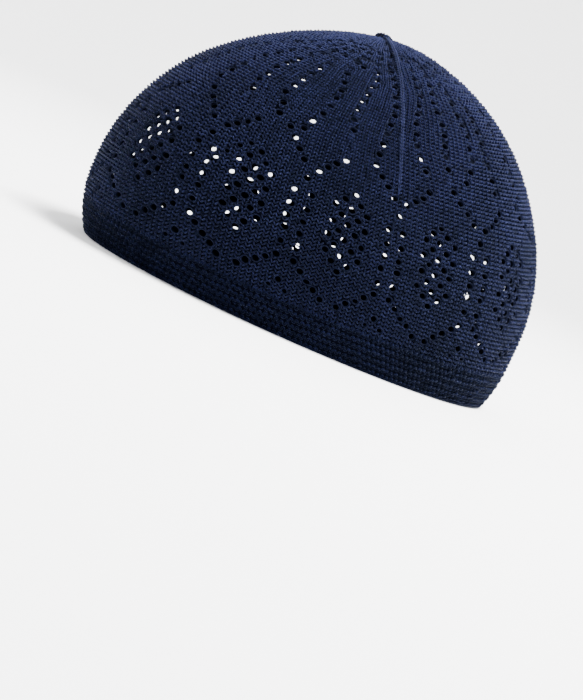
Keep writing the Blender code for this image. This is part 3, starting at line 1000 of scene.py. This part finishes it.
def tipPoint(turn, climb, lift):
    # a low knot with radial gathers: radius and height of a flattened half round, dented on top
    angle = climb * np.pi * 0.5
    wave = np.cos(tip["gathers"] * turn + tip["gatherTwist"] * climb)
    gather = 1 + tip["gatherDepth"] * wave * np.cos(angle) ** tip["gatherPower"]
    radius = tip["radius"] * np.cos(angle) ** tip["roundPower"] * gather + lift * np.cos(angle)
    dent = tip["dent"] * np.exp(-(radius / (tip["dentReach"] * tip["radius"])) ** 2)
    lump = 1 + tip["lump"] * np.cos(tip["lumps"] * turn + tip["lumpTurn"])
    height = tip["rise"] * (np.sin(angle) ** tip["risePower"] - dent * np.sin(angle)) * lump
    pole = lookUp(0.0, poleCourse)[0:3]
    return pole + np.stack([radius * np.cos(turn), radius * np.sin(turn),
                            height - tip["sink"] + lift * np.sin(angle)], -1)


def makeTip():
    climb = np.linspace(0, tip["topClimb"], tip["rings"])[:, None]
    turn = circle(tip["around"])[None, :]
    points = tipPoint(turn + 0 * climb, climb + 0 * turn, np.zeros((tip["rings"], tip["around"])))
    faces = tubeFaces(tip["rings"], tip["around"])
    # near-black knot: painted shade between the tip's legs
    return makeObject("gatheredTip", points, faces, groundShadeYarn, tone=1.0)


def makeTipStitches():
    # slanting legs drawn together over the knot, fewer in each higher ring
    rng = np.random.default_rng(tip["seed"])
    counts = [tip["legs"] - tip["fewer"] * k for k in range(tip["legRings"])]
    ring = np.repeat(np.arange(tip["legRings"]), counts)
    order = np.concatenate([np.arange(count) for count in counts])
    pitch = 2 * np.pi / (tip["legs"] - tip["fewer"] * ring)
    middle = (order + 0.5 * (ring % 2)) * pitch + rng.normal(0, tip["placeSpread"], len(ring)) * pitch
    rise = tip["legReach"] / tip["legRings"]
    climb = (ring + tip["legPlace"]) * rise
    slant = tip["legSlant"] * pitch * np.where(order % 2 == 0, 1, -1)
    turn = middle[:, None] + slant[:, None] * (2 * legAlong - 1)
    turn = turn + tip["legHalf"] * pitch[:, None] * legAcross
    height = climb[:, None] + rise * (tip["legLength"] * legAlong - tip["legLength"] / 2)
    lift = tip["legRise"] * (leg["overHigh"] * np.broadcast_to(legUp, turn.shape) - leg["overLow"])
    points = tipPoint(turn, np.clip(height, 0, tip["legHighest"]), lift)
    pole = lookUp(0.0, poleCourse)[0:3] - np.array([0, 0, 2 * tip["rise"]])
    tone = np.clip(tip["tone"] + rng.normal(0, tip["toneSpread"], len(ring)), tip["toneLeast"], 1)
    return makeLegs("tipLegs", points, points[:, legTop] - pole, seamYarn, tone)


# Camera, light and floor

def makeCamera():
    c = camera
    height = capShape["height"]
    data = bpy.data.cameras.new("camera")
    data.sensor_width = c["sensor"]
    data.lens = c["focalPixels"] / max(c["imageWidth"], c["imageHeight"]) * data.sensor_width
    data.clip_start, data.clip_end = c["clipNear"], c["clipFar"]
    thing = addThing("camera", data)
    # towards the camera: mostly the wearer's left, a little brow, a little up
    level = np.cos(c["lift"])
    back = Vector((np.cos(c["turn"]) * level, np.sin(c["turn"]) * level, np.sin(c["lift"])))
    middle = Vector((0, 0, height / 2))
    upright = (-back).to_track_quat("-Z", "Y")
    rolled = upright @ Matrix.Rotation(c["roll"], 3, "Z").to_quaternion()
    sight = Vector((c["capX"] - c["imageWidth"] / 2, c["imageHeight"] / 2 - c["capY"], -c["focalPixels"]))
    aim = sight.normalized().rotation_difference(Vector((0, 0, -1)))
    thing.rotation_mode = "QUATERNION"
    thing.location = middle + back * c["distance"]
    thing.rotation_quaternion = rolled @ aim
    bpy.context.scene.camera = thing


studio = {
    "floorRadius": 2.2, "wallHeight": 2.6, "bend": 0.9,
    "floorColor": (0.97, 0.97, 0.972, 1),
    "world": (0.97, 0.98, 1.0, 1), "worldStrength": 0.74,
    "roughness": 0.9, "specular": 0.1,
    "around": 96, "bendSteps": 20, "flatSteps": 12, "innerRadius": 0.02,
    "drop": 0.0002,  # keeps the floor just under the rim
}


def makeStudio():
    # a floor that bends up into a round wall: profile turned about the vertical
    s = studio
    turn = circle(s["around"])[None, :]
    bendAngle = np.linspace(0, np.pi / 2, s["bendSteps"])
    flat = s["floorRadius"] - s["bend"]
    r = np.concatenate([np.linspace(s["innerRadius"], flat, s["flatSteps"]),
                        flat + s["bend"] * np.sin(bendAngle[1:]), [s["floorRadius"]]])
    z = np.concatenate([np.zeros(s["flatSteps"]), s["bend"] * (1 - np.cos(bendAngle[1:])),
                        [s["wallHeight"]]])
    points = np.stack([r[:, None] * np.cos(turn), r[:, None] * np.sin(turn), z[:, None] + 0 * turn], -1)
    rows = len(r)
    faces = gridFaces(rows, s["around"], False, True).tolist() + [list(range(s["around"]))]
    m = bpy.data.materials.new("paleFloor")
    m.use_nodes = True
    setInputs(m.node_tree.nodes["Principled BSDF"],
              {"Base Color": s["floorColor"], "Roughness": s["roughness"],
               "Specular IOR Level": s["specular"]})
    floor = makeObject("floor", points, faces, m)
    floor.location.z = -s["drop"]
    world = bpy.data.worlds.new("softSky")
    world.use_nodes = True
    setInputs(world.node_tree.nodes["Background"], {"Color": s["world"], "Strength": s["worldStrength"]})
    bpy.context.scene.world = world


lights = [
    # name, place, size in metres, watts
    ("topSoft", (0.30, 0.45, 1.5), 0.6, 150),
    ("leftFill", (1.3, -1.1, 0.9), 1.0, 1),
    ("rightFill", (1.2, 1.2, 0.9), 1.0, 6),
    ("backRim", (-1.2, 0.3, 1.2), 1.0, 12),
]
lightAim = (0, 0, 0.06)


def addLight(name, place, size, power):
    data = bpy.data.lights.new(name, "AREA")
    data.shape = "SQUARE"
    data.size = size
    data.energy = power
    thing = addThing(name, data)
    thing.location = place
    thing.rotation_euler = (Vector(lightAim) - Vector(place)).to_track_quat("-Z", "Y").to_euler()


makeCamera()
makeStudio()
for light in lights:
    addLight(*light)
print("cap: camera and light set")

groundThing = makeGround()
stitchThings = makeStitches()
rimThing = makeRims()
bandThing = makeBandGround()
loopThing = makeBandLoops()
fillThing = makeBandFill()
edgeThing = makeEdge()
seamThing = makeSeam()
chainThing = makeSeamStitches()
tipThing = makeTip()
tipLegThing = makeTipStitches()
print("cap: pieces made")

for thing in [groundThing, rimThing] + stitchThings:
    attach(thing, "root")
for thing in (bandThing, loopThing, fillThing, edgeThing):
    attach(thing, "root")
for thing in (seamThing, chainThing, tipThing, tipLegThing):
    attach(thing, "root")
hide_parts("knit_crown")
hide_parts("edge_band")
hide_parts("seam_rib")
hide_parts("crown_tip")

print("cap: done")
